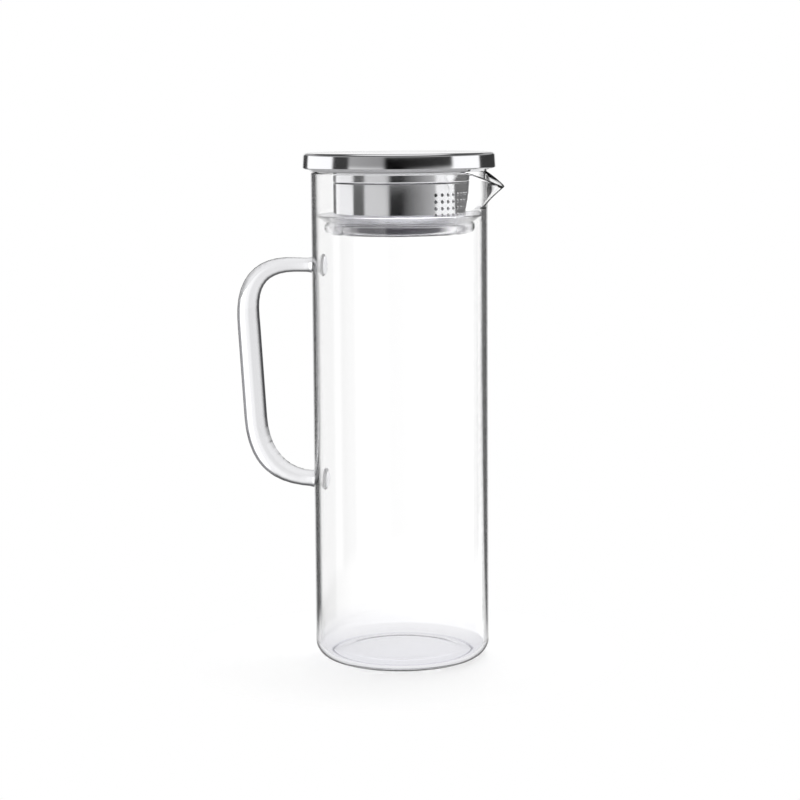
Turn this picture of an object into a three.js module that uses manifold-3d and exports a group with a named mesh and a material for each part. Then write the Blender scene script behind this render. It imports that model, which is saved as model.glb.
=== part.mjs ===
// A glass water jug with a steel strainer lid, in millimetres, +Z up.
// The origin is on the jug's axis, on the surface that the jug stands on.
// The pouring lip points to +X and the handle to -X.

import * as THREE from "three";
import { mergeVertices, toCreasedNormals } from "three/addons/utils/BufferGeometryUtils.js";
import Module from "manifold-3d";

const wasm = await Module();
wasm.setup();

// Clearance between pieces that touch on the real jug
const FIT_GAP = 0.3;

// Jug body: a straight tube, blown round at the foot
const JUG_DIAMETER = 90;
const JUG_HEIGHT = 250.3;
const WALL = 2.2;
const BASE_THICKNESS = 2.4;
const BASE_EDGE_RADIUS = 9;

// Pouring lip, pinched out of the rim
const LIP_REACH = 11.6; // of the tip beyond the wall
const LIP_DROP = 7.2; // of the tip below the rim
const LIP_DEPTH = 18.6; // from the rim to where the wall starts to lean out
const LIP_WIDTH = 28.5; // across the rim
const LIP_SHARPNESS = 1.7; // 1 is a straight-sided beak, more draws its sides in

// Handle: a bent rod, thicker at the grip, with feet that spread where they are welded on
const HANDLE_BELOW_RIM = 48.3; // to the middle of the upper arm
const HANDLE_SPAN = 112; // between the middles of the two arms
const HANDLE_UPPER_REACH = 42.2; // from the wall to where the upper arm and the grip would meet
const HANDLE_LOWER_REACH = 35.1;
const HANDLE_UPPER_BEND = 26.8; // from that corner to where the bend starts
const HANDLE_LOWER_BEND = 33.1;
const GRIP_DIAMETER = 12;
const UPPER_ARM_DIAMETER = 7.4;
const LOWER_ARM_DIAMETER = 8.6;
const UPPER_TAPER = 66; // along the rod, from the wall to the full grip
const LOWER_TAPER = 37;
const FOOT_DIAMETER = 11.5;
const FOOT_LENGTH = 7;

// Lid shell: a pressed cap crimped round the edge of a pressed base
const SHEET = 0.8;
const CAP_OVERHANG = 4.3; // beyond the jug's wall
const CAP_HEIGHT = 8.1;
const CAP_FLARE = 0.5; // of the skirt, from its top to its foot
const CAP_EDGE_RADIUS = 1.6;
const HEM_WIDTH = 1.9;
const HEM_RADIUS = 0.9;
const SEAT_DROP = 1.3; // from the cap's foot to the seat on the rim
const NECK_DEPTH = 5.6;
const SPIGOT_DEPTH = 2.2;
const PRESS_RADIUS = 0.9;

// Strainer sleeve: a thin tube on the base's spigot, pierced towards the pouring lip
const POUR_GAP = 9.1; // from the sleeve to the inside of the jug
const SLEEVE_WALL = 0.6;
const SLEEVE_LENGTH = 24.1;
const HOLE_DIAMETER = 2;
const HOLE_ROWS = 4;
const HOLE_COLUMNS = 12;
const ROW_PITCH = 3.35;
const COLUMN_PITCH = 3.94;
const FIRST_ROW_DEPTH = 5.5; // below the sleeve's upper edge

// Silicone ring: a beaded channel that grips the sleeve's lower edge, and a lip that rubs on the glass
const SEAL_FLOOR = 1.2;
const SEAL_INNER_WALL = 2;
const SEAL_INNER_HEIGHT = 5.2;
const SEAL_OUTER_WALL = 4.3;
const SEAL_BEAD_HEIGHT = 5.2;
const SEAL_BEAD_RADIUS = 2.6; // of its lower edge
const SEAL_LIP_INSET = 1.2; // of the lip's root from the bead's face
const SEAL_LIP_RISE = 3.7;
const SEAL_LIP_THICKNESS = 1;
const SEAL_ROUNDING = 1;

// Facets
const JUG_SEGMENTS = 64;
const LIP_GATHER = 0.5; // how far the jug's facets are drawn towards the lip, from 0 to 1
const LID_SEGMENTS = 48;
const ROD_SIDES = 12;
const ROD_STEPS = 44;
const HOLE_SIDES = 8;
const ARC_STEPS = 4;
const BEND_STEPS = 2;
const CREASE = THREE.MathUtils.degToRad(35);
const WELD = 1e-4;

const jugRadius = JUG_DIAMETER / 2;
const boreRadius = jugRadius - WALL;
const sleeveRadius = boreRadius - POUR_GAP;
const sleeveBore = sleeveRadius - SLEEVE_WALL;
const capRadius = jugRadius + CAP_OVERHANG;

const glass = new THREE.MeshStandardMaterial({
  color: 0xeef4f3,
  roughness: 0.03,
  metalness: 0,
  transparent: true,
  opacity: 0.3,
});
const handleGlass = glass.clone();
const polishedSteel = new THREE.MeshStandardMaterial({ color: 0xc9c8c6, roughness: 0.14, metalness: 1 });
const pressedSteel = new THREE.MeshStandardMaterial({ color: 0xbcbbb9, roughness: 0.25, metalness: 1 });
const sleeveSteel = new THREE.MeshStandardMaterial({ color: 0xc4c3c2, roughness: 0.18, metalness: 1 });
const silicone = new THREE.MeshStandardMaterial({ color: 0xb9b8c0, roughness: 0.4, metalness: 0 });

// An outline's point: a place in the radius and height plane, with a rounding radius.
function corner(radius, height, rounding = 0) {
  return { at: new THREE.Vector2(radius, height), rounding };
}

// The directions into and out of a corner, and how far it turns, to the left above zero.
function turnAt(before, here, after) {
  const into = here.at.clone().sub(before.at).normalize();
  const out = after.at.clone().sub(here.at).normalize();
  return { into, out, angle: Math.atan2(into.cross(out), into.dot(out)) };
}

// Draws a run of corners as a path, with the rounded ones as curves. A closed run comes back to its start.
function rounded(corners, closed) {
  const path = new THREE.Path();
  const count = corners.length;
  corners.forEach((here, i) => {
    const isEnd = !closed && (i === 0 || i === count - 1);
    const { into, out, angle } = turnAt(corners[(i + count - 1) % count], here, corners[(i + 1) % count]);
    const reach = isEnd ? 0 : here.rounding * Math.tan(Math.abs(angle) / 2);
    const start = here.at.clone().addScaledVector(into, -reach);
    if (i === 0) path.moveTo(start.x, start.y);
    else path.lineTo(start.x, start.y);
    if (reach > 0) {
      const end = here.at.clone().addScaledVector(out, reach);
      path.quadraticCurveTo(here.at.x, here.at.y, end.x, end.y);
    }
  });
  if (closed) path.closePath();
  return path;
}

// The outline of a pressed sheet: the given face, and the other face a sheet's thickness to its left.
function sheetOutline(face) {
  const other = face.map((here, i) => {
    const before = face[i - 1];
    const after = face[i + 1];
    const into = here.at.clone().sub((before ?? here).at).normalize();
    const out = (after ?? here).at.clone().sub(here.at).normalize();
    const first = before ? into : out;
    const second = after ? out : into;
    const mitre = 1 + first.dot(second);
    const offset = new THREE.Vector2(-first.y - second.y, first.x + second.x).multiplyScalar(SHEET / mitre);
    const inner = here.rounding - SHEET * Math.sign(first.cross(second));
    return { at: here.at.clone().add(offset), rounding: here.rounding > 0 ? Math.max(inner, 0) : 0 };
  });
  return [...face, ...other.reverse()];
}

// Joins the vertices that share a place, so that the surface is closed.
function welded(geometry) {
  geometry.deleteAttribute("normal");
  geometry.deleteAttribute("uv");
  return mergeVertices(geometry, WELD);
}

// Turns an outline about the Z axis. An open outline starts and ends on the axis.
function revolved(corners, closed, segments, steps) {
  const points = rounded(corners, closed).getPoints(steps);
  if (THREE.ShapeUtils.area(points) < 0) points.reverse();
  const geometry = new THREE.LatheGeometry(points, segments);
  return welded(geometry.rotateX(Math.PI / 2));
}

function solidOf(geometry) {
  const surface = welded(geometry);
  return new wasm.Manifold(
    new wasm.Mesh({
      numProp: 3,
      vertProperties: surface.attributes.position.array,
      triVerts: new Uint32Array(surface.index.array),
    }),
  );
}

function geometryOf(solid) {
  const mesh = solid.getMesh();
  const geometry = new THREE.BufferGeometry();
  geometry.setAttribute("position", new THREE.BufferAttribute(mesh.vertProperties, 3));
  geometry.setIndex(new THREE.BufferAttribute(mesh.triVerts, 1));
  return geometry;
}

function named(name, geometry, material) {
  const mesh = new THREE.Mesh(toCreasedNormals(geometry, CREASE), material);
  mesh.name = name;
  return mesh;
}

// Draws the jug's facets together round the lip, and then leans the wall out and lets the rim down there.
function pinchLip(geometry) {
  const halfAngle = Math.asin(LIP_WIDTH / 2 / jugRadius);
  const position = geometry.attributes.position;
  for (let i = 0; i < position.count; i++) {
    const even = Math.atan2(position.getY(i), position.getX(i));
    const bearing = even - LIP_GATHER * Math.sin(even);
    const depth = JUG_HEIGHT - position.getZ(i);
    const across = Math.max(0, 1 - Math.abs(bearing) / halfAngle) ** LIP_SHARPNESS;
    const lean = across * Math.max(0, 1 - depth / LIP_DEPTH);
    const radius = Math.hypot(position.getX(i), position.getY(i)) + LIP_REACH * lean;
    position.setX(i, radius * Math.cos(bearing));
    position.setY(i, radius * Math.sin(bearing));
    position.setZ(i, position.getZ(i) - LIP_DROP * lean);
  }
  return geometry;
}

function makeBody() {
  const leanHeight = JUG_HEIGHT - LIP_DEPTH;
  const outline = [
    corner(0, 0),
    corner(jugRadius, 0, BASE_EDGE_RADIUS),
    corner(jugRadius, leanHeight),
    corner(jugRadius, JUG_HEIGHT, WALL / 2),
    corner(boreRadius, JUG_HEIGHT, WALL / 2),
    corner(boreRadius, leanHeight),
    corner(boreRadius, BASE_THICKNESS, Math.max(BASE_EDGE_RADIUS - WALL, 0)),
    corner(0, BASE_THICKNESS),
  ];
  return pinchLip(revolved(outline, false, JUG_SEGMENTS, ARC_STEPS));
}

// The rod's radius at a distance along it from the upper weld, on a rod that is so long from wall to wall.
function rodRadius(distance, length) {
  const left = length - distance;
  const grown = THREE.MathUtils.smoothstep(distance, FOOT_LENGTH, UPPER_TAPER);
  const kept = THREE.MathUtils.smoothstep(left, FOOT_LENGTH, LOWER_TAPER);
  const upper = THREE.MathUtils.lerp(UPPER_ARM_DIAMETER, GRIP_DIAMETER, grown);
  const bare = THREE.MathUtils.lerp(LOWER_ARM_DIAMETER, upper, kept);
  const spread = Math.max(0, 1 - Math.min(distance, left) / FOOT_LENGTH) ** 2;
  return THREE.MathUtils.lerp(bare, FOOT_DIAMETER, spread) / 2;
}

// A straight rod is bent along the handle's line, and its feet are cut to the curve of the wall.
function makeHandle() {
  const upper = JUG_HEIGHT - HANDLE_BELOW_RIM;
  const lower = upper - HANDLE_SPAN;
  const root = boreRadius;
  const sunk = jugRadius - root;
  const line = rounded(
    [
      corner(root, upper),
      corner(jugRadius + HANDLE_UPPER_REACH, upper, HANDLE_UPPER_BEND),
      corner(jugRadius + HANDLE_LOWER_REACH, lower, HANDLE_LOWER_BEND),
      corner(root, lower),
    ],
    false,
  );
  const length = line.getLength();
  const rod = new THREE.CylinderGeometry(1, 1, 1, ROD_SIDES, ROD_STEPS);
  const position = rod.attributes.position;
  for (let i = 0; i < position.count; i++) {
    const along = position.getY(i) + 0.5;
    const place = line.getPointAt(along);
    const heading = line.getTangentAt(along);
    const radius = rodRadius(along * length - sunk, length - 2 * sunk);
    const side = position.getX(i) * radius;
    position.setXYZ(i, -place.x - heading.y * side, position.getZ(i) * radius, place.y - heading.x * side);
  }
  const wallRadius = jugRadius + FIT_GAP;
  const wall = new THREE.CylinderGeometry(wallRadius, wallRadius, JUG_HEIGHT, JUG_SEGMENTS);
  wall.rotateX(Math.PI / 2).translate(0, 0, JUG_HEIGHT / 2);
  return geometryOf(solidOf(rod).subtract(solidOf(wall)));
}

// The lid's pieces have their zero height at the seat on the jug's rim.
function makeCap() {
  const foot = SEAT_DROP;
  const top = foot + CAP_HEIGHT;
  const face = [
    corner(capRadius - HEM_WIDTH, foot),
    corner(capRadius, foot, HEM_RADIUS),
    corner(capRadius - CAP_FLARE, top, CAP_EDGE_RADIUS),
    corner(0, top),
  ];
  return revolved(sheetOutline(face), true, LID_SEGMENTS, BEND_STEPS);
}

function makeBase() {
  const flange = SEAT_DROP + SHEET + FIT_GAP;
  const spigotRadius = sleeveBore - FIT_GAP;
  const plate = -NECK_DEPTH - SPIGOT_DEPTH;
  const face = [
    corner(0, plate),
    corner(spigotRadius, plate, PRESS_RADIUS),
    corner(spigotRadius, -NECK_DEPTH),
    corner(sleeveRadius, -NECK_DEPTH, PRESS_RADIUS),
    corner(sleeveRadius, 0, PRESS_RADIUS),
    corner(jugRadius, 0, PRESS_RADIUS),
    corner(capRadius - HEM_WIDTH - FIT_GAP, flange, PRESS_RADIUS),
    corner(capRadius - SHEET - FIT_GAP, flange),
  ];
  return revolved(sheetOutline(face), true, LID_SEGMENTS, BEND_STEPS);
}

function makeSleeve() {
  const top = -NECK_DEPTH - FIT_GAP;
  const foot = top - SLEEVE_LENGTH;
  const outline = [
    corner(sleeveBore, foot),
    corner(sleeveRadius, foot),
    corner(sleeveRadius, top),
    corner(sleeveBore, top),
  ];
  let sleeve = solidOf(revolved(outline, true, LID_SEGMENTS, BEND_STEPS));
  const punchLength = 4 * SLEEVE_WALL;
  for (let column = 0; column < HOLE_COLUMNS; column++) {
    const bearing = ((column - (HOLE_COLUMNS - 1) / 2) * COLUMN_PITCH) / sleeveRadius;
    for (let row = 0; row < HOLE_ROWS; row++) {
      const height = top - FIRST_ROW_DEPTH - row * ROW_PITCH;
      const punch = new THREE.CylinderGeometry(HOLE_DIAMETER / 2, HOLE_DIAMETER / 2, punchLength, HOLE_SIDES);
      punch.rotateZ(Math.PI / 2).translate(sleeveRadius - SLEEVE_WALL / 2, 0, height);
      sleeve = sleeve.subtract(solidOf(punch.rotateZ(bearing)));
    }
  }
  return geometryOf(sleeve);
}

function makeSeal() {
  const foot = -NECK_DEPTH - SLEEVE_LENGTH - 2 * FIT_GAP - SEAL_FLOOR;
  const channelFloor = foot + SEAL_FLOOR;
  const channelInner = sleeveBore - FIT_GAP;
  const channelOuter = sleeveRadius + FIT_GAP;
  const inner = channelInner - SEAL_INNER_WALL;
  const outer = channelOuter + SEAL_OUTER_WALL;
  const crown = foot + SEAL_BEAD_HEIGHT;
  const shoulder = crown + SEAL_LIP_THICKNESS;
  const rubbing = boreRadius - FIT_GAP;
  const outline = [
    corner(inner, foot, SEAL_ROUNDING),
    corner(outer, foot, SEAL_BEAD_RADIUS),
    corner(outer, crown, SEAL_LIP_INSET / 2),
    corner(outer - SEAL_LIP_INSET, crown),
    corner(rubbing, shoulder + SEAL_LIP_RISE - SEAL_LIP_THICKNESS / 2),
    corner(rubbing, shoulder + SEAL_LIP_RISE),
    corner(outer - SEAL_LIP_INSET, shoulder, SEAL_ROUNDING),
    corner(channelOuter, shoulder),
    corner(channelOuter, channelFloor),
    corner(channelInner, channelFloor),
    corner(channelInner, foot + SEAL_INNER_HEIGHT),
    corner(inner, foot + SEAL_INNER_HEIGHT),
  ];
  return revolved(outline, true, LID_SEGMENTS, BEND_STEPS);
}

const jug = new THREE.Group();
jug.add(named("glass_body", makeBody(), glass));
jug.add(named("glass_handle", makeHandle(), handleGlass));

const lid = new THREE.Group();
lid.position.z = JUG_HEIGHT + FIT_GAP;
lid.add(named("lid_cap", makeCap(), polishedSteel));
lid.add(named("lid_base", makeBase(), pressedSteel));
lid.add(named("strainer_sleeve", makeSleeve(), sleeveSteel));
lid.add(named("seal_ring", makeSeal(), silicone));

const pitcher = new THREE.Group();
pitcher.add(jug, lid);

export default pitcher;
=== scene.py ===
"""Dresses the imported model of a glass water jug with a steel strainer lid.

Each node of the frame gets one finished piece: the blown body, the rod handle, the polished cap, the
pressed base, the pierced sleeve and the silicone ring. Sizes are millimetres on the dataclasses and
become metres where vertices are made.
"""

import logging
import math
from collections.abc import Sequence
from dataclasses import dataclass
from enum import Enum

import bmesh
import bpy
from mathutils import Matrix, Vector

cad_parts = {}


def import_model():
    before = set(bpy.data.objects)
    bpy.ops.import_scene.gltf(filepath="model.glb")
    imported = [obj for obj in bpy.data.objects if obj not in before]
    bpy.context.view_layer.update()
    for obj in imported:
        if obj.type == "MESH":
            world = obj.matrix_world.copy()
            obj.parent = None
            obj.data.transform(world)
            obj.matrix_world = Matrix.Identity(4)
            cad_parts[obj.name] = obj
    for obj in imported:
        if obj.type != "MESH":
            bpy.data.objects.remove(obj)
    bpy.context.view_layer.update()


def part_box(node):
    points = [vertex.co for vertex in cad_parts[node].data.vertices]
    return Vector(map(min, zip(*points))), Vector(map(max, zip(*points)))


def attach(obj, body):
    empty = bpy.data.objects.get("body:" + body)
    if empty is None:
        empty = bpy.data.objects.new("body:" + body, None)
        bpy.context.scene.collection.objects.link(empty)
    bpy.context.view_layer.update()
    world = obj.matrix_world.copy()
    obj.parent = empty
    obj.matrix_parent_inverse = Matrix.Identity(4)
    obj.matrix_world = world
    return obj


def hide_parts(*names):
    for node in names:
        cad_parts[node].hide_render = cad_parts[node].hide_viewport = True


LOG = logging.getLogger("pitcher")
MM = 0.001
WELD = 1e-7
CREASE = math.radians(38)
ARC_STEP = math.radians(9)
ROD_RUN = "run"
EVEN = 0.5
ANY = 0.5
MIX_FIRST, MIX_SECOND, MIX_RESULT = 6, 7, 2

Socket = bpy.types.NodeSocket


class Lay(Enum):
    """Which way the polishing lines of a steel piece run."""

    AROUND = "around"
    RINGS = "rings"


def linear(code: str) -> tuple[float, float, float, float]:
    """Turns a display colour into the linear light that shaders take.

    Args:
        code: six hexadecimal digits, red first.

    Returns:
        Linear red, green, blue and a full alpha.
    """
    shares = [int(code[i : i + 2], 16) / 255 for i in (0, 2, 4)]
    light = [c / 12.92 if c <= 0.04045 else ((c + 0.055) / 1.055) ** 2.4 for c in shares]
    return (*light, 1.0)


def add_node(
    tree: bpy.types.NodeTree, kind: str, inputs: dict[str | int, object] | None = None, **settings: object
) -> bpy.types.Node:
    """Adds one node to a tree and feeds it.

    Args:
        tree: the material's or the world's node tree.
        kind: the node's type name, without its common start.
        inputs: a value or another node's socket for each input, by name or place.
        settings: the node's own properties.

    Returns:
        The new node.
    """
    node = tree.nodes.new("ShaderNode" + kind)
    for name, value in settings.items():
        setattr(node, name, value)
    for key, value in (inputs or {}).items():
        if isinstance(value, Socket):
            tree.links.new(value, node.inputs[key])
        else:
            node.inputs[key].default_value = value
    return node


def blend(
    tree: bpy.types.NodeTree, share: Socket, first: Socket | tuple, second: Socket | tuple
) -> Socket:
    """Mixes two colours.

    Args:
        tree: the node tree.
        share: of the second colour.
        first: a colour or another node's socket.
        second: a colour or another node's socket.

    Returns:
        The mixed colour.
    """
    inputs = {0: share, MIX_FIRST: first, MIX_SECOND: second}
    return add_node(tree, "Mix", inputs, data_type="RGBA").outputs[MIX_RESULT]


def new_material(name: str) -> tuple[bpy.types.Material, bpy.types.NodeTree, bpy.types.Node]:
    """Makes an empty node material.

    Args:
        name: the real material and finish.

    Returns:
        The material, its tree and its output node.
    """
    material = bpy.data.materials.new(name)
    material.use_nodes = True
    tree = material.node_tree
    tree.nodes.clear()
    return material, tree, add_node(tree, "OutputMaterial")


@dataclass(frozen=True)
class Corner:
    """A corner of an outline in the plane of radius and height."""

    radius: float
    height: float
    rounding: float = 0.0

    @property
    def at(self) -> Vector:
        """The corner's place."""
        return Vector((self.radius, self.height))


def draw(corners: Sequence[Corner], closed: bool, pull: float | None = None) -> list[Vector]:
    """Draws a run of corners as points, with a curve at each rounded one.

    Args:
        corners: the outline's corners in order.
        closed: whether the last corner runs on to the first.
        pull: how far the corners draw the curves out, or none for circular arcs.

    Returns:
        Points in the plane of radius and height.
    """
    points: list[Vector] = []
    count = len(corners)
    for i, here in enumerate(corners):
        if not here.rounding or (not closed and i in (0, count - 1)):
            points.append(here.at)
            continue
        into = (here.at - corners[i - 1].at).normalized()
        out = (corners[(i + 1) % count].at - here.at).normalized()
        turn = into.angle(out)
        reach = here.rounding * math.tan(turn / 2)
        start, end = here.at - into * reach, here.at + out * reach
        weight = pull or math.cos(turn / 2)
        steps = max(3, math.ceil(turn / ARC_STEP))
        for k in range(steps + 1):
            t = k / steps
            shares = ((1 - t) ** 2, 2 * t * (1 - t) * weight, t * t)
            points.append((start * shares[0] + here.at * shares[1] + end * shares[2]) / sum(shares))
    return points


def sheet(face: Sequence[Corner], thickness: float) -> list[Corner]:
    """Gives a pressed sheet's face its second side.

    Args:
        face: the corners of the given side.
        thickness: of the sheet, to the left of the face's run.

    Returns:
        The closed outline of the sheet.
    """
    other = []
    for i, here in enumerate(face):
        into = (here.at - face[i - 1].at).normalized() if i else None
        out = (face[i + 1].at - here.at).normalized() if i + 1 < len(face) else None
        first, second = into or out, out or into
        offset = Vector((-first.y - second.y, first.x + second.x)) * thickness / (1 + first.dot(second))
        bend = math.copysign(thickness, first.cross(second))
        place = here.at + offset
        other.append(Corner(place.x, place.y, max(here.rounding - bend, 0) if here.rounding else 0))
    return [*face, *reversed(other)]


def finished(name: str, shape: bmesh.types.BMesh) -> bpy.types.Object:
    """Turns mesh work into an object with outward faces and smooth shading up to the creases.

    Args:
        name: the piece's name.
        shape: the mesh work, which is freed.

    Returns:
        The new object, linked to the scene.
    """
    bmesh.ops.remove_doubles(shape, verts=shape.verts[:], dist=WELD)
    bmesh.ops.recalc_face_normals(shape, faces=shape.faces[:])
    mesh = bpy.data.meshes.new(name)
    shape.to_mesh(mesh)
    shape.free()
    mesh.shade_smooth()
    mesh.set_sharp_from_angle(angle=CREASE)
    piece = bpy.data.objects.new(name, mesh)
    bpy.context.scene.collection.objects.link(piece)
    LOG.info("%s: %d faces", name, len(mesh.polygons))
    return piece


def lathe(corners: Sequence[Corner], closed: bool, steps: int, lift: float = 0.0) -> bmesh.types.BMesh:
    """Spins an outline about the Z axis.

    Args:
        corners: the outline.
        closed: whether the outline runs back to its start; an open one starts and ends on the axis.
        steps: faces round the axis.
        lift: height of the outline's zero.

    Returns:
        The mesh work.
    """
    shape = bmesh.new()
    points = [shape.verts.new((p.x * MM, 0, (p.y + lift) * MM)) for p in draw(corners, closed)]
    ends = points[1:] + points[:1] if closed else points[1:]
    edges = [shape.edges.new(pair) for pair in zip(points, ends)]
    bmesh.ops.spin(
        shape,
        geom=points + edges,
        cent=(0, 0, 0),
        axis=(0, 0, 1),
        angle=math.tau,
        steps=steps,
        use_merge=True,
    )
    return shape


def place(piece: bpy.types.Object, node: str, body: str, slot: str, material: bpy.types.Material) -> None:
    """Puts a finished piece in a node's stead.

    Args:
        piece: the finished object.
        node: the frame's node that it replaces.
        body: the frame's body that it rides on.
        slot: the record's material slot; not used.
        material: the finish.
    """
    piece.data.materials.append(material)
    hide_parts(node)
    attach(piece, body)


@dataclass(frozen=True)
class Glass:
    """Clear borosilicate, fire polished, with painted shade darkening it along its edges, and a little grey
    at its foot.
    """

    name: str
    tint: str = "fefefe"
    foot_tint: str = "f4f4f7"
    foot_low: float = 4.0
    foot_high: float = 20.0
    edge_shade_tint: str = "78787a"
    edge_from: float = 0.65
    edge_at: float = 0.82
    lit_from: float = 0.1
    lit_at: float = 0.65
    index: float = 1.47
    roughness: float = 0.0
    wave_length: float = 42.0
    wave_stretch: float = 0.3
    wave_depth: float = 0.01
    wave_detail: float = 1.0
    wave_roughness: float = 0.4
    run: str | None = None

    def material(self) -> bpy.types.Material:
        """Makes the finish, with the slow waves of drawn tube.

        The edges are darkened with painted shade, which fades out near the foot and on faces turned up, as
        if lit from above. The dark edges lie along the glass, so their width is measured across it: across
        the run that the mesh names, or across the upright where it names none.

        Returns:
            The material.
        """
        material, tree, output = new_material(self.name)

        def calc(operation: str, first: Socket | float, second: Socket | float = 0.0) -> Socket:
            return add_node(tree, "Math", {0: first, 1: second}, operation=operation).outputs[0]

        coords = add_node(tree, "TexCoord")
        stretch = add_node(
            tree, "Mapping", {"Vector": coords.outputs["Object"], "Scale": (1.0, 1.0, self.wave_stretch)}
        )
        waves = add_node(
            tree,
            "TexNoise",
            {
                "Vector": stretch.outputs[0],
                "Scale": 1 / (self.wave_length * MM),
                "Detail": self.wave_detail,
                "Roughness": self.wave_roughness,
            },
        )
        bump = add_node(
            tree, "Bump", {"Strength": 1.0, "Distance": self.wave_depth * MM, "Height": waves.outputs[0]}
        )
        level = add_node(tree, "SeparateXYZ", {0: coords.outputs["Object"]}).outputs["Z"]
        foot = {0: level, 1: self.foot_low * MM, 2: self.foot_high * MM}
        risen = add_node(tree, "MapRange", foot).outputs[0]
        normal = add_node(tree, "NewGeometry").outputs["Normal"]
        up = add_node(tree, "SeparateXYZ", {0: normal}).outputs["Z"]
        # Strength of the painted edge shade: none near the foot, and fading out on faces turned up, as if
        # lit from above.
        unlit = {0: up, 1: self.lit_from, 2: self.lit_at, 3: risen, 4: 0.0}
        shade = add_node(tree, "MapRange", unlit).outputs[0]
        if self.run:
            run = add_node(tree, "Attribute", attribute_name=self.run).outputs["Vector"]
        else:
            run = add_node(tree, "CombineXYZ", {"Z": 1.0}).outputs[0]
        facing = add_node(tree, "LayerWeight", {"Blend": EVEN}).outputs["Facing"]
        aside = add_node(tree, "LayerWeight", {"Blend": EVEN, "Normal": run}).outputs["Facing"]
        end_on = calc("SUBTRACT", 1.0, aside)
        across = calc("SQRT", calc("SUBTRACT", 1.0, calc("MULTIPLY", end_on, end_on)))
        turned = calc("SUBTRACT", 1.0, calc("DIVIDE", calc("SUBTRACT", 1.0, facing), across))
        # Painted shade: edges seen aslant across the run darken towards the edge shade tint.
        edge = add_node(
            tree,
            "MapRange",
            {0: turned, 1: self.edge_from, 2: self.edge_at, 3: 0.0, 4: shade},
            interpolation_type="SMOOTHSTEP",
        )
        clear = blend(tree, risen, linear(self.foot_tint), linear(self.tint))
        colour = blend(tree, edge.outputs[0], clear, linear(self.edge_shade_tint))
        shader = add_node(
            tree,
            "BsdfPrincipled",
            {
                "Base Color": colour,
                "Roughness": self.roughness,
                "IOR": self.index,
                "Transmission Weight": 1.0,
                "Normal": bump.outputs[0],
            },
        )
        tree.links.new(shader.outputs[0], output.inputs["Surface"])
        return material


@dataclass(frozen=True)
class Seam:
    """The face that a rod is fused on by, a little cloudy."""

    name: str
    colour: str = "e8e8ec"
    roughness: float = 0.3
    index: float = 1.47
    clear: float = 0.88

    def material(self) -> bpy.types.Material:
        """Makes the finish.

        Returns:
            The material.
        """
        material, tree, output = new_material(self.name)
        shader = add_node(
            tree,
            "BsdfPrincipled",
            {
                "Base Color": linear(self.colour),
                "Roughness": self.roughness,
                "IOR": self.index,
                "Transmission Weight": self.clear,
            },
        )
        tree.links.new(shader.outputs[0], output.inputs["Surface"])
        return material


@dataclass(frozen=True)
class Steel:
    """Stainless steel, polished on a wheel: sharp reflections, a little drawn out across the lines."""

    name: str
    lay: Lay
    colour: str = "e6e6e8"
    roughness: float = 0.08
    smudge: float = 0.05
    anisotropy: float = 0.35
    line_width: float = 0.25
    line_depth: float = 0.0004
    line_detail: float = 2.0
    mark_scale: float = 55.0
    mark_detail: float = 4.0
    mark_roughness: float = 0.6
    mark_from: float = 0.42
    mark_at: float = 0.7

    def material(self) -> bpy.types.Material:
        """Makes the finish. Fine lines and faint finger marks soften the reflections.

        Returns:
            The material.
        """
        material, tree, output = new_material(self.name)
        coords = add_node(tree, "TexCoord").outputs["Object"]
        if self.lay is Lay.RINGS:
            flat = add_node(tree, "VectorMath", {0: coords, 1: (1.0, 1.0, 0.0)}, operation="MULTIPLY")
            across = add_node(tree, "VectorMath", {0: flat.outputs[0]}, operation="LENGTH").outputs["Value"]
        else:
            across = add_node(tree, "SeparateXYZ", {0: coords}).outputs["Z"]
        lines = add_node(
            tree,
            "TexNoise",
            {"W": across, "Scale": 1 / (self.line_width * MM), "Detail": self.line_detail},
            noise_dimensions="1D",
        )
        bump = add_node(tree, "Bump", {"Distance": self.line_depth * MM, "Height": lines.outputs[0]})
        marks = add_node(
            tree,
            "TexNoise",
            {
                "Vector": coords,
                "Scale": self.mark_scale,
                "Detail": self.mark_detail,
                "Roughness": self.mark_roughness,
            },
        )
        gloss = add_node(
            tree,
            "MapRange",
            {
                0: marks.outputs[0],
                1: self.mark_from,
                2: self.mark_at,
                3: self.roughness,
                4: self.roughness + self.smudge,
            },
        )
        tangent = add_node(tree, "Tangent", direction_type="RADIAL", axis="Z")
        shader = add_node(
            tree,
            "BsdfPrincipled",
            {
                "Base Color": linear(self.colour),
                "Metallic": 1.0,
                "Roughness": gloss.outputs[0],
                "Anisotropic": self.anisotropy,
                "Normal": bump.outputs[0],
                "Tangent": tangent.outputs[0],
            },
        )
        tree.links.new(shader.outputs[0], output.inputs["Surface"])
        return material


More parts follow.
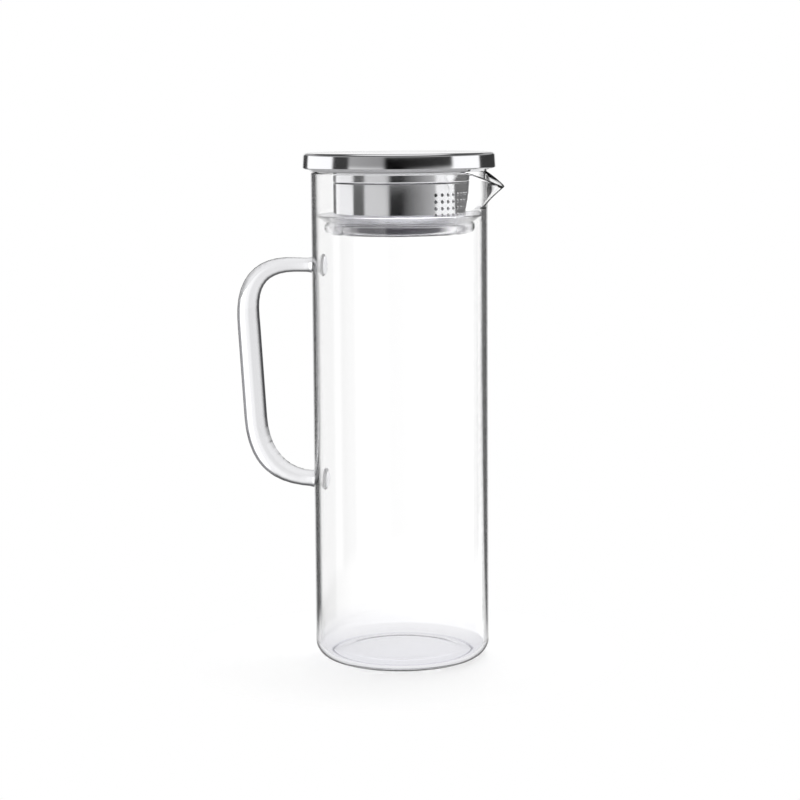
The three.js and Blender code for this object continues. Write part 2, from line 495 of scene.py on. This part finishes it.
@dataclass(frozen=True)
class Silicone:
    """Moulded translucent silicone, with painted light and shade in its colour: the lip is painted light,
    the channel below it is painted dark as shade, and the ends are painted light where the ring is seen
    aslant.
    """

    name: str
    middle: float
    lit_lip_colour: str = "f6f5fa"
    shaded_channel_colour: str = "333236"
    lit_end_colour: str = "f4f4f6"
    blend: float = 2.4
    index: float = 1.1
    roughness: float = 0.14
    shine: float = 1.5
    clear_from: float = 0.15
    clear_at: float = 0.45
    grain: float = 0.8
    grain_depth: float = 0.01
    grain_detail: float = 2.0
    coat_roughness: float = 0.06

    def material(self) -> bpy.types.Material:
        """Makes the finish. Seen aslant it lets light through and is painted a light colour there, and a
        faint grain softens its shine.

        Returns:
            The material.
        """
        material, tree, output = new_material(self.name)
        coords = add_node(tree, "TexCoord").outputs["Object"]
        grain = add_node(
            tree,
            "TexNoise",
            {"Vector": coords, "Scale": 1 / (self.grain * MM), "Detail": self.grain_detail},
        )
        bump = add_node(tree, "Bump", {"Distance": self.grain_depth * MM, "Height": grain.outputs[0]})
        level = add_node(tree, "SeparateXYZ", {0: coords}).outputs["Z"]
        # Painted light and shade: the ring is lighter above the middle, as if lit, and dark below it, as if
        # in shade.
        low, high = (self.middle - self.blend) * MM, (self.middle + self.blend) * MM
        thin = add_node(tree, "MapRange", {0: level, 1: low, 2: high}, interpolation_type="SMOOTHSTEP")
        colour = blend(tree, thin.outputs[0], linear(self.shaded_channel_colour), linear(self.lit_lip_colour))
        # Painted light: where the ring is seen aslant its colour goes to the lit end colour, besides letting
        # light through.
        facing = add_node(tree, "LayerWeight", {"Blend": EVEN}).outputs["Facing"]
        clear = add_node(tree, "MapRange", {0: facing, 1: self.clear_from, 2: self.clear_at})
        tone = blend(tree, clear.outputs[0], colour, linear(self.lit_end_colour))
        shader = add_node(
            tree,
            "BsdfPrincipled",
            {
                "Base Color": tone,
                "Roughness": self.roughness,
                "IOR": self.index,
                "Transmission Weight": clear.outputs[0],
                "Coat Weight": 1.0,
                "Coat Roughness": self.coat_roughness,
                "Coat IOR": self.shine,
                "Normal": bump.outputs[0],
            },
        )
        tree.links.new(shader.outputs[0], output.inputs["Surface"])
        return material


@dataclass
class Jug:
    """The blown body with its pinched lip, and the bent rod fused to its wall."""

    wall: float = 2.2
    base: float = 2.4
    edge_rounding: float = 9.0
    floor_rounding: float = 6.8
    punt: float = 1.0
    punt_start: float = 35.5
    punt_top: float = 28.0
    punt_rounding: float = 30.0
    lip_reach: float = 11.6
    lip_drop: float = 7.2
    lip_depth: float = 18.6
    lip_width: float = 28.5
    lip_sharpness: float = 1.7
    lip_tip: float = 0.2
    lip_ease: float = 1.15
    facets: int = 240
    gather: float = 0.5
    rows: int = 16
    rows_reach: float = 0.93
    arm_below_rim: float = 48.3
    arm_span: float = 112.0
    upper_reach: float = 42.2
    lower_reach: float = 35.1
    upper_bend: float = 26.8
    lower_bend: float = 33.1
    upper_rod: float = 7.4
    grip_rod: float = 12.0
    lower_rod: float = 8.6
    upper_taper: float = 66.0
    lower_taper: float = 37.0
    foot: float = 11.5
    foot_length: float = 7.0
    sunk: float = 0.15
    stations: int = 150
    sides: int = 40

    def __post_init__(self) -> None:
        """Takes the body's radius and height from the frame."""
        _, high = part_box("glass_body")
        self.radius = high.y / MM
        self.height = high.z / MM

    def lean(self, bearing: float, depth: float) -> float:
        """How far the wall gives way to the lip, from 0 to 1.

        Args:
            bearing: round the axis from the lip's middle, in radians.
            depth: below the rim.

        Returns:
            The share of the lip's full reach and drop.
        """
        half = math.asin(self.lip_width / 2 / self.radius)
        aside = math.hypot(bearing / half, self.lip_tip) - self.lip_tip
        across = max(0.0, 1 - aside) ** self.lip_sharpness
        return across * max(0.0, 1 - depth / self.lip_depth) ** self.lip_ease

    def make_body(self) -> bpy.types.Object:
        """Spins the body and draws the lip out of its rim.

        Returns:
            The body.
        """
        bore = self.radius - self.wall
        start = self.height - self.lip_depth
        reach = self.lip_depth * self.rows_reach
        rise = [start + reach * i / self.rows for i in range(self.rows + 1)]
        outline = [
            Corner(0, self.punt),
            Corner(self.punt_top, self.punt, self.punt_rounding),
            Corner(self.punt_start, 0, self.punt_rounding),
            Corner(self.radius, 0, self.edge_rounding),
            *(Corner(self.radius, z) for z in rise),
            Corner(self.radius, self.height, self.wall / 2),
            Corner(bore, self.height, self.wall / 2),
            *(Corner(bore, z) for z in reversed(rise)),
            Corner(bore, self.base, self.floor_rounding),
            Corner(self.punt_start, self.base, self.punt_rounding),
            Corner(self.punt_top, self.base + self.punt, self.punt_rounding),
            Corner(0, self.base + self.punt),
        ]
        shape = lathe(outline, False, self.facets)
        for vertex in shape.verts:
            even = math.atan2(vertex.co.y, vertex.co.x)
            bearing = even - self.gather * math.sin(even)
            lean = self.lean(bearing, self.height - vertex.co.z / MM)
            radius = vertex.co.xy.length + self.lip_reach * lean * MM
            vertex.co.x, vertex.co.y = radius * math.cos(bearing), radius * math.sin(bearing)
            vertex.co.z -= self.lip_drop * lean * MM
        return finished("blown_body", shape)

    def rod(self, along: float, length: float) -> float:
        """The rod's radius at a distance along it from the upper weld.

        Args:
            along: distance from the wall.
            length: from wall to wall.

        Returns:
            The radius.
        """

        def ease(reached: float, full: float) -> float:
            t = min(max((reached - self.foot_length) / (full - self.foot_length), 0.0), 1.0)
            return t * t * (3 - 2 * t)

        left = length - along
        upper = self.upper_rod + (self.grip_rod - self.upper_rod) * ease(along, self.upper_taper)
        bare = self.lower_rod + (upper - self.lower_rod) * ease(left, self.lower_taper)
        spread = min(1.0, max(0.0, 1 - min(along, left) / self.foot_length)) ** 2
        return (bare + (self.foot - bare) * spread) / 2

    def make_handle(self) -> bpy.types.Object:
        """Sweeps a circle along the bent line, ring by ring.

        Returns:
            The handle, its ends cut to the wall's curve and just sunk into it.
        """
        root = self.radius - self.sunk
        upper = self.height - self.arm_below_rim
        lower = upper - self.arm_span
        line = draw(
            [
                Corner(root, upper),
                Corner(self.radius + self.upper_reach, upper, self.upper_bend),
                Corner(self.radius + self.lower_reach, lower, self.lower_bend),
                Corner(root, lower),
            ],
            False,
            pull=1.0,
        )
        spans = [(b - a).length for a, b in zip(line, line[1:])]
        total = sum(spans)
        rings = []
        for k in range(self.stations + 1):
            along = total * k / self.stations
            left, i = along, 0
            while i < len(spans) - 1 and left > spans[i]:
                left -= spans[i]
                i += 1
            step = line[i + 1] - line[i]
            spot = line[i] + step * (left / spans[i])
            radius = self.rod(along - self.sunk, total - 2 * self.sunk)
            rings.append((spot, math.atan2(step.y, -step.x), radius))
        turns = [
            Matrix.Translation((-spot.x * MM, 0, spot.y * MM))
            @ Matrix.Rotation(math.pi / 2 - heading, 4, "Y")
            @ Matrix.Scale(radius * MM, 4)
            for spot, heading, radius in rings
        ]
        shape = bmesh.new()
        run = shape.verts.layers.float_vector.new(ROD_RUN)
        bmesh.ops.create_circle(shape, cap_ends=False, segments=self.sides, radius=1.0, matrix=turns[0])
        first = rim = shape.edges[:]
        for vertex in shape.verts:
            vertex[run] = turns[0].col[2].xyz.normalized()
        for before, after in zip(turns, turns[1:]):
            grown = bmesh.ops.extrude_edge_only(shape, edges=rim)["geom"]
            fresh = {v for v in grown if isinstance(v, bmesh.types.BMVert)}
            rim = [e for e in grown if isinstance(e, bmesh.types.BMEdge) and set(e.verts) <= fresh]
            bmesh.ops.transform(shape, matrix=after @ before.inverted(), verts=list(fresh))
            for vertex in fresh:
                vertex[run] = after.col[2].xyz.normalized()
        for loop in (first, rim):
            end = bmesh.ops.edgeloop_fill(shape, edges=loop, mat_nr=1)["faces"]
            fan = bmesh.ops.poke(shape, faces=end)["faces"]
            for vertex in {v for face in fan for v in face.verts}:
                vertex.co.x = -math.sqrt((root * MM) ** 2 - vertex.co.y**2)
        return finished("handle_rod", shape)

    def build(self) -> None:
        """Makes both pieces."""
        self.body = self.make_body()
        self.handle = self.make_handle()

    def dress(self) -> None:
        """Gives both pieces their glass and puts them in the frame."""
        place(self.body, "glass_body", "jug", "body_glass", Glass("clear borosilicate tube").material())
        # The rod gets a darker painted edge shade over a wider band than the body.
        rod = Glass(
            "clear borosilicate rod",
            tint="ededef",
            edge_shade_tint="1c1c1e",
            edge_from=0.1,
            edge_at=0.42,
            wave_length=25.0,
            wave_depth=0.006,
            run=ROD_RUN,
        )
        place(self.handle, "glass_handle", "jug", "handle_glass", rod.material())
        self.handle.data.materials.append(Seam("cloudy fused borosilicate").material())


@dataclass
class Lid:
    """The hollow pressed lid, its pierced sleeve and the silicone ring."""

    gap: float = 0.3
    metal: float = 0.8
    cap_height: float = 8.1
    cap_flare: float = 0.5
    cap_rounding: float = 1.6
    hem_width: float = 1.9
    hem_rounding: float = 0.9
    seat_drop: float = 1.3
    neck: float = 5.6
    spigot: float = 2.2
    press_rounding: float = 0.9
    jug_radius: float = 45.0
    bore: float = 42.8
    sleeve_radius: float = 33.7
    sleeve_wall: float = 0.6
    sleeve_length: float = 24.1
    hole: float = 2.0
    hole_rows: int = 4
    hole_columns: int = 12
    row_pitch: float = 3.35
    column_pitch: float = 3.94
    first_row: float = 5.5
    punch_sides: int = 20
    punch_walls: int = 4
    seal_floor: float = 1.2
    seal_inner_wall: float = 2.0
    seal_inner_height: float = 5.2
    seal_outer_wall: float = 4.3
    seal_bead: float = 5.2
    seal_bead_rounding: float = 2.6
    seal_inset: float = 1.2
    seal_lip_rise: float = 3.7
    seal_lip: float = 1.0
    seal_rounding: float = 1.0
    facets: int = 192

    def __post_init__(self) -> None:
        """Takes the lid's radius and the height of its seat from the frame."""
        _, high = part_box("lid_cap")
        self.cap_radius = high.y / MM
        self.seat = high.z / MM - self.cap_height - self.seat_drop

    @property
    def seal_foot(self) -> float:
        """The level of the ring's foot, from the seat."""
        return -self.neck - self.sleeve_length - 2 * self.gap - self.seal_floor

    def make_cap(self) -> bpy.types.Object:
        """The cap: a shallow pan with a rolled hem.

        Returns:
            The piece.
        """
        top = self.seat_drop + self.cap_height
        face = [
            Corner(self.cap_radius - self.hem_width, self.seat_drop),
            Corner(self.cap_radius, self.seat_drop, self.hem_rounding),
            Corner(self.cap_radius - self.cap_flare, top, self.cap_rounding),
            Corner(0, top),
        ]
        outline = sheet(face, self.metal)
        from_axis = outline[len(face) :] + outline[: len(face)]
        return finished("cap_pressing", lathe(from_axis, False, self.facets, self.seat))

    def make_base(self) -> bpy.types.Object:
        """The base: a stepped pan with the seat, the neck and the spigot.

        Returns:
            The piece.
        """
        flange = self.seat_drop + self.metal + self.gap
        inner = self.sleeve_radius - self.sleeve_wall - self.gap
        plate = -self.neck - self.spigot
        bend = self.press_rounding
        face = [
            Corner(0, plate),
            Corner(inner, plate, bend),
            Corner(inner, -self.neck, self.metal / 2),
            Corner(self.sleeve_radius, -self.neck, bend),
            Corner(self.sleeve_radius, 0, bend),
            Corner(self.jug_radius, 0, bend),
            Corner(self.cap_radius - self.hem_width - self.gap, flange, bend),
            Corner(self.cap_radius - self.metal - self.gap, flange),
        ]
        return finished("base_pressing", lathe(sheet(face, self.metal), False, self.facets, self.seat))

    def make_sleeve(self) -> bpy.types.Object:
        """The sleeve: a thin tube with rows of punched holes towards the lip.

        Returns:
            The piece.
        """
        top = self.seat - self.neck - self.gap
        inner = self.sleeve_radius - self.sleeve_wall
        edge = self.sleeve_wall / 3
        outline = [
            Corner(inner, top - self.sleeve_length, edge),
            Corner(self.sleeve_radius, top - self.sleeve_length, edge),
            Corner(self.sleeve_radius, top, edge),
            Corner(inner, top, edge),
        ]
        tube = finished("pierced_sleeve", lathe(outline, True, self.facets))
        shape = bmesh.new()
        for column in range(self.hole_columns):
            bearing = (column - (self.hole_columns - 1) / 2) * self.column_pitch / self.sleeve_radius
            for row in range(self.hole_rows):
                level = top - self.first_row - row * self.row_pitch
                spot = Vector((self.sleeve_radius * MM, 0, level * MM))
                turn = Matrix.Rotation(bearing, 4, "Z") @ Matrix.Translation(spot)
                bmesh.ops.create_cone(
                    shape,
                    cap_ends=True,
                    segments=self.punch_sides,
                    radius1=self.hole / 2 * MM,
                    radius2=self.hole / 2 * MM,
                    depth=self.punch_walls * self.sleeve_wall * MM,
                    matrix=turn @ Matrix.Rotation(math.pi / 2, 4, "Y"),
                )
        punches = finished("punches", shape)
        cut = tube.modifiers.new("holes", "BOOLEAN")
        cut.operation, cut.solver, cut.object = "DIFFERENCE", "EXACT", punches
        pierced = bpy.data.meshes.new_from_object(tube.evaluated_get(bpy.context.evaluated_depsgraph_get()))
        tube.modifiers.clear()
        tube.data = pierced
        pierced.name = tube.name
        pierced.set_sharp_from_angle(angle=CREASE)
        bpy.data.objects.remove(punches)
        LOG.info("%s: %d faces with its holes", tube.name, len(pierced.polygons))
        return tube

    def make_seal(self) -> bpy.types.Object:
        """The ring: a channel on the sleeve's lower edge with a flared lip.

        Returns:
            The piece.
        """
        foot = self.seal_foot
        channel = foot + self.seal_floor
        inside = self.sleeve_radius - self.sleeve_wall - self.gap
        outside = self.sleeve_radius + self.gap
        inner = inside - self.seal_inner_wall
        outer = outside + self.seal_outer_wall
        crown = foot + self.seal_bead
        shoulder = crown + self.seal_lip
        rubbing = self.bore - self.gap
        tip = shoulder + self.seal_lip_rise
        turn = self.seal_rounding
        outline = [
            Corner(inner, foot, turn),
            Corner(outer, foot, self.seal_bead_rounding),
            Corner(outer, crown, self.seal_inset),
            Corner(outer - self.seal_inset, crown),
            Corner(rubbing, tip - self.seal_lip / 2, self.seal_lip / 5),
            Corner(rubbing, tip, self.seal_lip / 5),
            Corner(outer - self.seal_inset, shoulder, turn),
            Corner(outside, shoulder, turn / 4),
            Corner(outside, channel),
            Corner(inside, channel),
            Corner(inside, foot + self.seal_inner_height, turn / 2),
            Corner(inner, foot + self.seal_inner_height, turn / 2),
        ]
        return finished("silicone_ring", lathe(outline, True, self.facets, self.seat))

    def build(self) -> None:
        """Makes the four pieces."""
        self.cap = self.make_cap()
        self.base = self.make_base()
        self.sleeve = self.make_sleeve()
        self.seal = self.make_seal()

    def dress(self) -> None:
        """Gives the pieces their finishes and puts them in the frame."""
        polished = Steel("polished stainless steel", Lay.RINGS)
        pressed = Steel("bright pressed stainless steel", Lay.RINGS, roughness=0.14)
        drawn = Steel("drawn stainless steel tube", Lay.AROUND, roughness=0.1)
        place(self.cap, "lid_cap", "lid", "polished_steel", polished.material())
        place(self.base, "lid_base", "lid", "pressed_steel", pressed.material())
        place(self.sleeve, "strainer_sleeve", "lid", "sleeve_steel", drawn.material())
        crown = self.seat + self.seal_foot + self.seal_bead
        rubber = Silicone("translucent moulded silicone", middle=crown + self.seal_lip)
        place(self.seal, "seal_ring", "seal", "silicone", rubber.material())


@dataclass(frozen=True)
class Panel:
    """A stretch of the horizon, in degrees from the camera, the picture's right above zero."""

    start: float
    end: float
    level: float
    end_level: float | None = None


BACK_LEFT = (
    Panel(-180, -163, 1.0),
    Panel(-158, -141, 0.05),
    Panel(-138, -87, 1.25),
    Panel(-84, -64, 0.05),
)
BACK_RIGHT = (Panel(68, 109, 1.25), Panel(112, 158, 0.05), Panel(163, 180, 1.0))
LOW_RING = (
    *BACK_LEFT,
    Panel(-60, -20, 0.8, 0.75),
    Panel(-15, 3, 0.0),
    Panel(12, 62, 0.1, 0.55),
    *BACK_RIGHT,
)
HIGH_RING = (*BACK_LEFT, Panel(-60, -20, 0.42, 0.33), Panel(-15, 64, 0.0, 0.05), *BACK_RIGHT)


@dataclass
class Studio:
    """A white table, a bright backdrop, panels and flags that the steel mirrors, a lamp and the camera.

    Levels are linear light. A rise is the sine of a direction's height above the horizon, and a side is
    the sine of its turn to the picture's right. Passes and bounces count what a ray has met on its way.
    """

    azimuth: float = 21.0
    distance: float = 1133.0
    eye: float = 281.5
    pitch: float = 7.45
    roll: float = -0.42
    aside: float = -0.4
    lens: float = 100.0
    sensor: float = 36.0
    floor_size: float = 6000.0
    floor_drop: float = 0.2
    shadow_share: float = 0.45
    shadow_reach: float = 45.0
    shadow_end: float = 115.0
    ambient: float = 0.75
    inside: float = 3.2
    inside_right: float = 8.0
    backdrop: float = 1.14
    backdrop_left: float = 0.94
    backdrop_right: float = 2.8
    table: float = 0.45
    table_through: float = 1.0
    dome: float = 0.4
    dome_flag: float = 0.1
    ceiling: float = 0.5
    deep: float = 1.0
    deep_inside: float = 0.4
    ring_rise: tuple[float, float] = (0.02, 0.06)
    dome_rise: tuple[float, float] = (0.145, 0.21)
    flag_rise: tuple[float, float] = (0.42, 0.5)
    zenith_rise: tuple[float, float] = (0.8, 0.9)
    table_rise: tuple[float, float] = (-0.234, -0.248)
    through_rise: tuple[float, float] = (-0.24, -0.256)
    left_side: tuple[float, float] = (-0.12, 0.02)
    right_side: tuple[float, float] = (0.12, 0.35)
    inside_side: tuple[float, float] = (-0.2, 0.9)
    bare_passes: tuple[float, float] = (0.0, 1.0)
    deep_passes: tuple[float, float] = (2.5, 3.5)
    inside_passes: tuple[float, float] = (3.0, 4.0)
    most_passes: float = 4.5
    deep_bounces: float = 2.5
    floor_level: float = 0.9
    floor_roughness: float = 0.5
    key_size: tuple[float, float] = (0.9, 0.9)
    key_watts: float = 10.0
    key_spot: tuple[float, float, float] = (0.25, -0.5, 1.3)
    aim_height: float = 0.2

    def __post_init__(self) -> None:
        """Sets the level directions to the camera and to the picture's right, and the view's own."""
        turn, tilt = math.radians(self.azimuth), math.radians(self.pitch)
        self.front = Vector((math.sin(turn), -math.cos(turn), 0))
        self.right = Vector((math.cos(turn), math.sin(turn), 0))
        self.ahead = -self.front * math.cos(tilt) - Vector((0, 0, math.sin(tilt)))

    def make_camera(self) -> None:
        """Stands the camera where the picture was taken from."""
        data = bpy.data.cameras.new("camera")
        data.lens, data.sensor_width = self.lens, self.sensor
        camera = bpy.data.objects.new("camera", data)
        bpy.context.scene.collection.objects.link(camera)
        aim = self.ahead.to_track_quat("-Z", "Y").to_matrix().to_4x4()
        stand = self.front * self.distance + self.right * self.aside + Vector((0, 0, self.eye))
        roll = Matrix.Rotation(math.radians(self.roll), 4, "Z")
        camera.matrix_world = Matrix.Translation(stand * MM) @ aim @ roll
        bpy.context.scene.camera = camera

    def make_floor(self) -> None:
        """Lays the white table, which keeps a soft shadow near the jug."""
        shape = bmesh.new()
        bmesh.ops.create_grid(
            shape,
            x_segments=1,
            y_segments=1,
            size=self.floor_size / 2 * MM,
            matrix=Matrix.Translation((0, 0, -self.floor_drop * MM)),
        )
        floor = finished("table", shape)
        material, tree, output = new_material("white table top")
        shader = add_node(
            tree,
            "BsdfPrincipled",
            {
                "Base Color": (*[self.floor_level] * 3, 1.0),
                "Roughness": self.floor_roughness,
                "Specular IOR Level": 0.0,
            },
        )
        glow = add_node(tree, "Emission", {"Color": (1.0, 1.0, 1.0, 1.0), "Strength": 1.0})
        coords = add_node(tree, "TexCoord").outputs["Object"]
        far = add_node(tree, "VectorMath", {0: coords}, operation="LENGTH").outputs["Value"]
        white = add_node(
            tree,
            "MapRange",
            {0: far, 1: self.shadow_reach * MM, 2: self.shadow_end * MM, 3: 1 - self.shadow_share, 4: 1.0},
        )
        path = add_node(tree, "LightPath")
        share = add_node(
            tree, "Math", {0: path.outputs["Is Camera Ray"], 1: white.outputs[0]}, operation="MULTIPLY"
        )
        mix = add_node(tree, "MixShader", {0: share.outputs[0], 1: shader.outputs[0], 2: glow.outputs[0]})
        tree.links.new(mix.outputs[0], output.inputs["Surface"])
        floor.data.materials.append(material)
        floor.visible_transmission = False
        floor.visible_glossy = False

    def ring(self, tree: bpy.types.NodeTree, bearing: Socket, panels: Sequence[Panel]) -> Socket:
        """Paints the panels round the horizon.

        Args:
            tree: the world's tree.
            bearing: from 0 to 1 round the horizon, with the camera at 0.5 and the picture's right above it.
            panels: in order from the left of straight behind.

        Returns:
            The light's level.
        """
        ramp = add_node(tree, "ValToRGB", {0: bearing})
        marks = ramp.color_ramp.elements
        ends = []
        for panel in panels:
            last = panel.level if panel.end_level is None else panel.end_level
            ends += [(panel.start, panel.level), (panel.end, last)]
        for i, (degrees, level) in enumerate(ends):
            mark = marks[i] if i < 2 else marks.new(1.0)
            mark.position = degrees / 360 + 0.5
            mark.color = (level, level, level, 1.0)
        return ramp.outputs[0]

    def make_world(self) -> None:
        """Surrounds the jug with the studio: white to the camera, panels and flags to steel and glass."""
        world = bpy.data.worlds.new("studio")
        world.use_nodes = True
        world.cycles.sampling_method = "NONE"
        bpy.context.scene.world = world
        tree = world.node_tree
        tree.nodes.clear()

        def dot(direction: Vector) -> Socket:
            inputs = {0: way, 1: direction}
            return add_node(tree, "VectorMath", inputs, operation="DOT_PRODUCT").outputs["Value"]

        def step(
            value: Socket, start: float, end: float, low: Socket | float = 0.0, high: Socket | float = 1.0
        ) -> Socket:
            inputs = {0: value, 1: start, 2: end, 3: low, 4: high}
            return add_node(tree, "MapRange", inputs, interpolation_type="SMOOTHSTEP").outputs[0]

        def mix(share: Socket, first: Socket, second: Socket | float) -> Socket:
            other = second if isinstance(second, Socket) else (second, second, second, 1.0)
            return blend(tree, share, first, other)

        def over(value: Socket, limit: float) -> Socket:
            return add_node(tree, "Math", {0: value, 1: limit}, operation="GREATER_THAN").outputs[0]

        way = add_node(tree, "TexCoord").outputs["Generated"]
        rise = dot(Vector((0, 0, 1)))
        turn = add_node(tree, "Math", {0: dot(self.right), 1: dot(self.front)}, operation="ARCTAN2")
        bearing = add_node(tree, "MapRange", {0: turn.outputs[0], 1: -math.pi, 2: math.pi}).outputs[0]
        low, high = self.ring(tree, bearing, LOW_RING), self.ring(tree, bearing, HIGH_RING)
        path = add_node(tree, "LightPath").outputs
        passes, bounces = path["Transmission Depth"], path["Glossy Depth"]
        upper = mix(over(passes, ANY), high, self.ceiling)
        panels = mix(step(rise, *self.ring_rise), low, upper)
        below = step(rise, *self.table_rise)
        flagged = step(rise, *self.flag_rise, self.dome, self.dome_flag)
        dome = mix(step(rise, *self.zenith_rise), flagged, 1.0)
        dome = mix(over(passes, ANY), dome, self.ceiling)
        table = step(passes, *self.bare_passes, self.table, self.table_through)
        mirrored = mix(below, mix(step(rise, *self.dome_rise), panels, dome), table)
        mirrored = mix(over(passes, self.most_passes), mirrored, self.backdrop)
        side = dot(self.right)
        behind = step(side, *self.left_side, self.backdrop_left, self.backdrop)
        behind = mix(step(side, *self.right_side), behind, self.backdrop_right)
        through = mix(step(rise, *self.through_rise), behind, self.table_through)
        seen = mix(over(bounces, ANY), through, mirrored)
        deep = step(passes, *self.deep_passes, self.deep, self.deep_inside)
        seen = mix(over(bounces, self.deep_bounces), seen, deep)
        inside = step(side, *self.inside_side, self.inside, self.inside_right)
        soft = step(passes, *self.inside_passes, self.ambient, inside)
        lit = mix(over(path["Diffuse Depth"], ANY), seen, soft)
        shown = mix(path["Is Camera Ray"], lit, 1.0)
        back = add_node(tree, "Background", {"Color": shown, "Strength": 1.0})
        output = add_node(tree, "OutputWorld")
        tree.links.new(back.outputs[0], output.inputs["Surface"])

    def lamp(self, name: str, size: tuple[float, float], watts: float, spot: Vector) -> bpy.types.Object:
        """Hangs one area lamp, turned to the jug.

        Args:
            name: of the lamp.
            size: across and up, in metres.
            watts: of light.
            spot: to the picture's right, to the front and up, in metres.

        Returns:
            The lamp.
        """
        data = bpy.data.lights.new(name, "AREA")
        data.shape, data.energy = "RECTANGLE", watts
        data.size, data.size_y = size
        lamp = bpy.data.objects.new(name, data)
        bpy.context.scene.collection.objects.link(lamp)
        at = self.right * spot.x + self.front * spot.y + Vector((0, 0, spot.z))
        aim = (Vector((0, 0, self.aim_height)) - at).to_track_quat("-Z", "Y").to_matrix().to_4x4()
        lamp.matrix_world = Matrix.Translation(at) @ aim
        return lamp

    def make_lamps(self) -> None:
        """Hangs a large soft lamp above and behind, for the shadow."""
        key = self.lamp("key", self.key_size, self.key_watts, Vector(self.key_spot))
        key.visible_glossy = key.visible_transmission = False

    def build(self) -> None:
        """Sets up the whole studio."""
        scene = bpy.context.scene
        scene.view_settings.view_transform = "Standard"
        self.make_camera()
        self.make_floor()
        self.make_world()
        self.make_lamps()


def main() -> None:
    """Loads the frame, builds and dresses the jug and its lid, and sets up the studio."""
    logging.basicConfig(level=logging.INFO, format="%(message)s")
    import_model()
    jug, lid, studio = Jug(), Lid(), Studio()
    for part in (jug, lid):
        part.build()
        part.dress()
    studio.build()


if __name__ == "__main__":
    main()
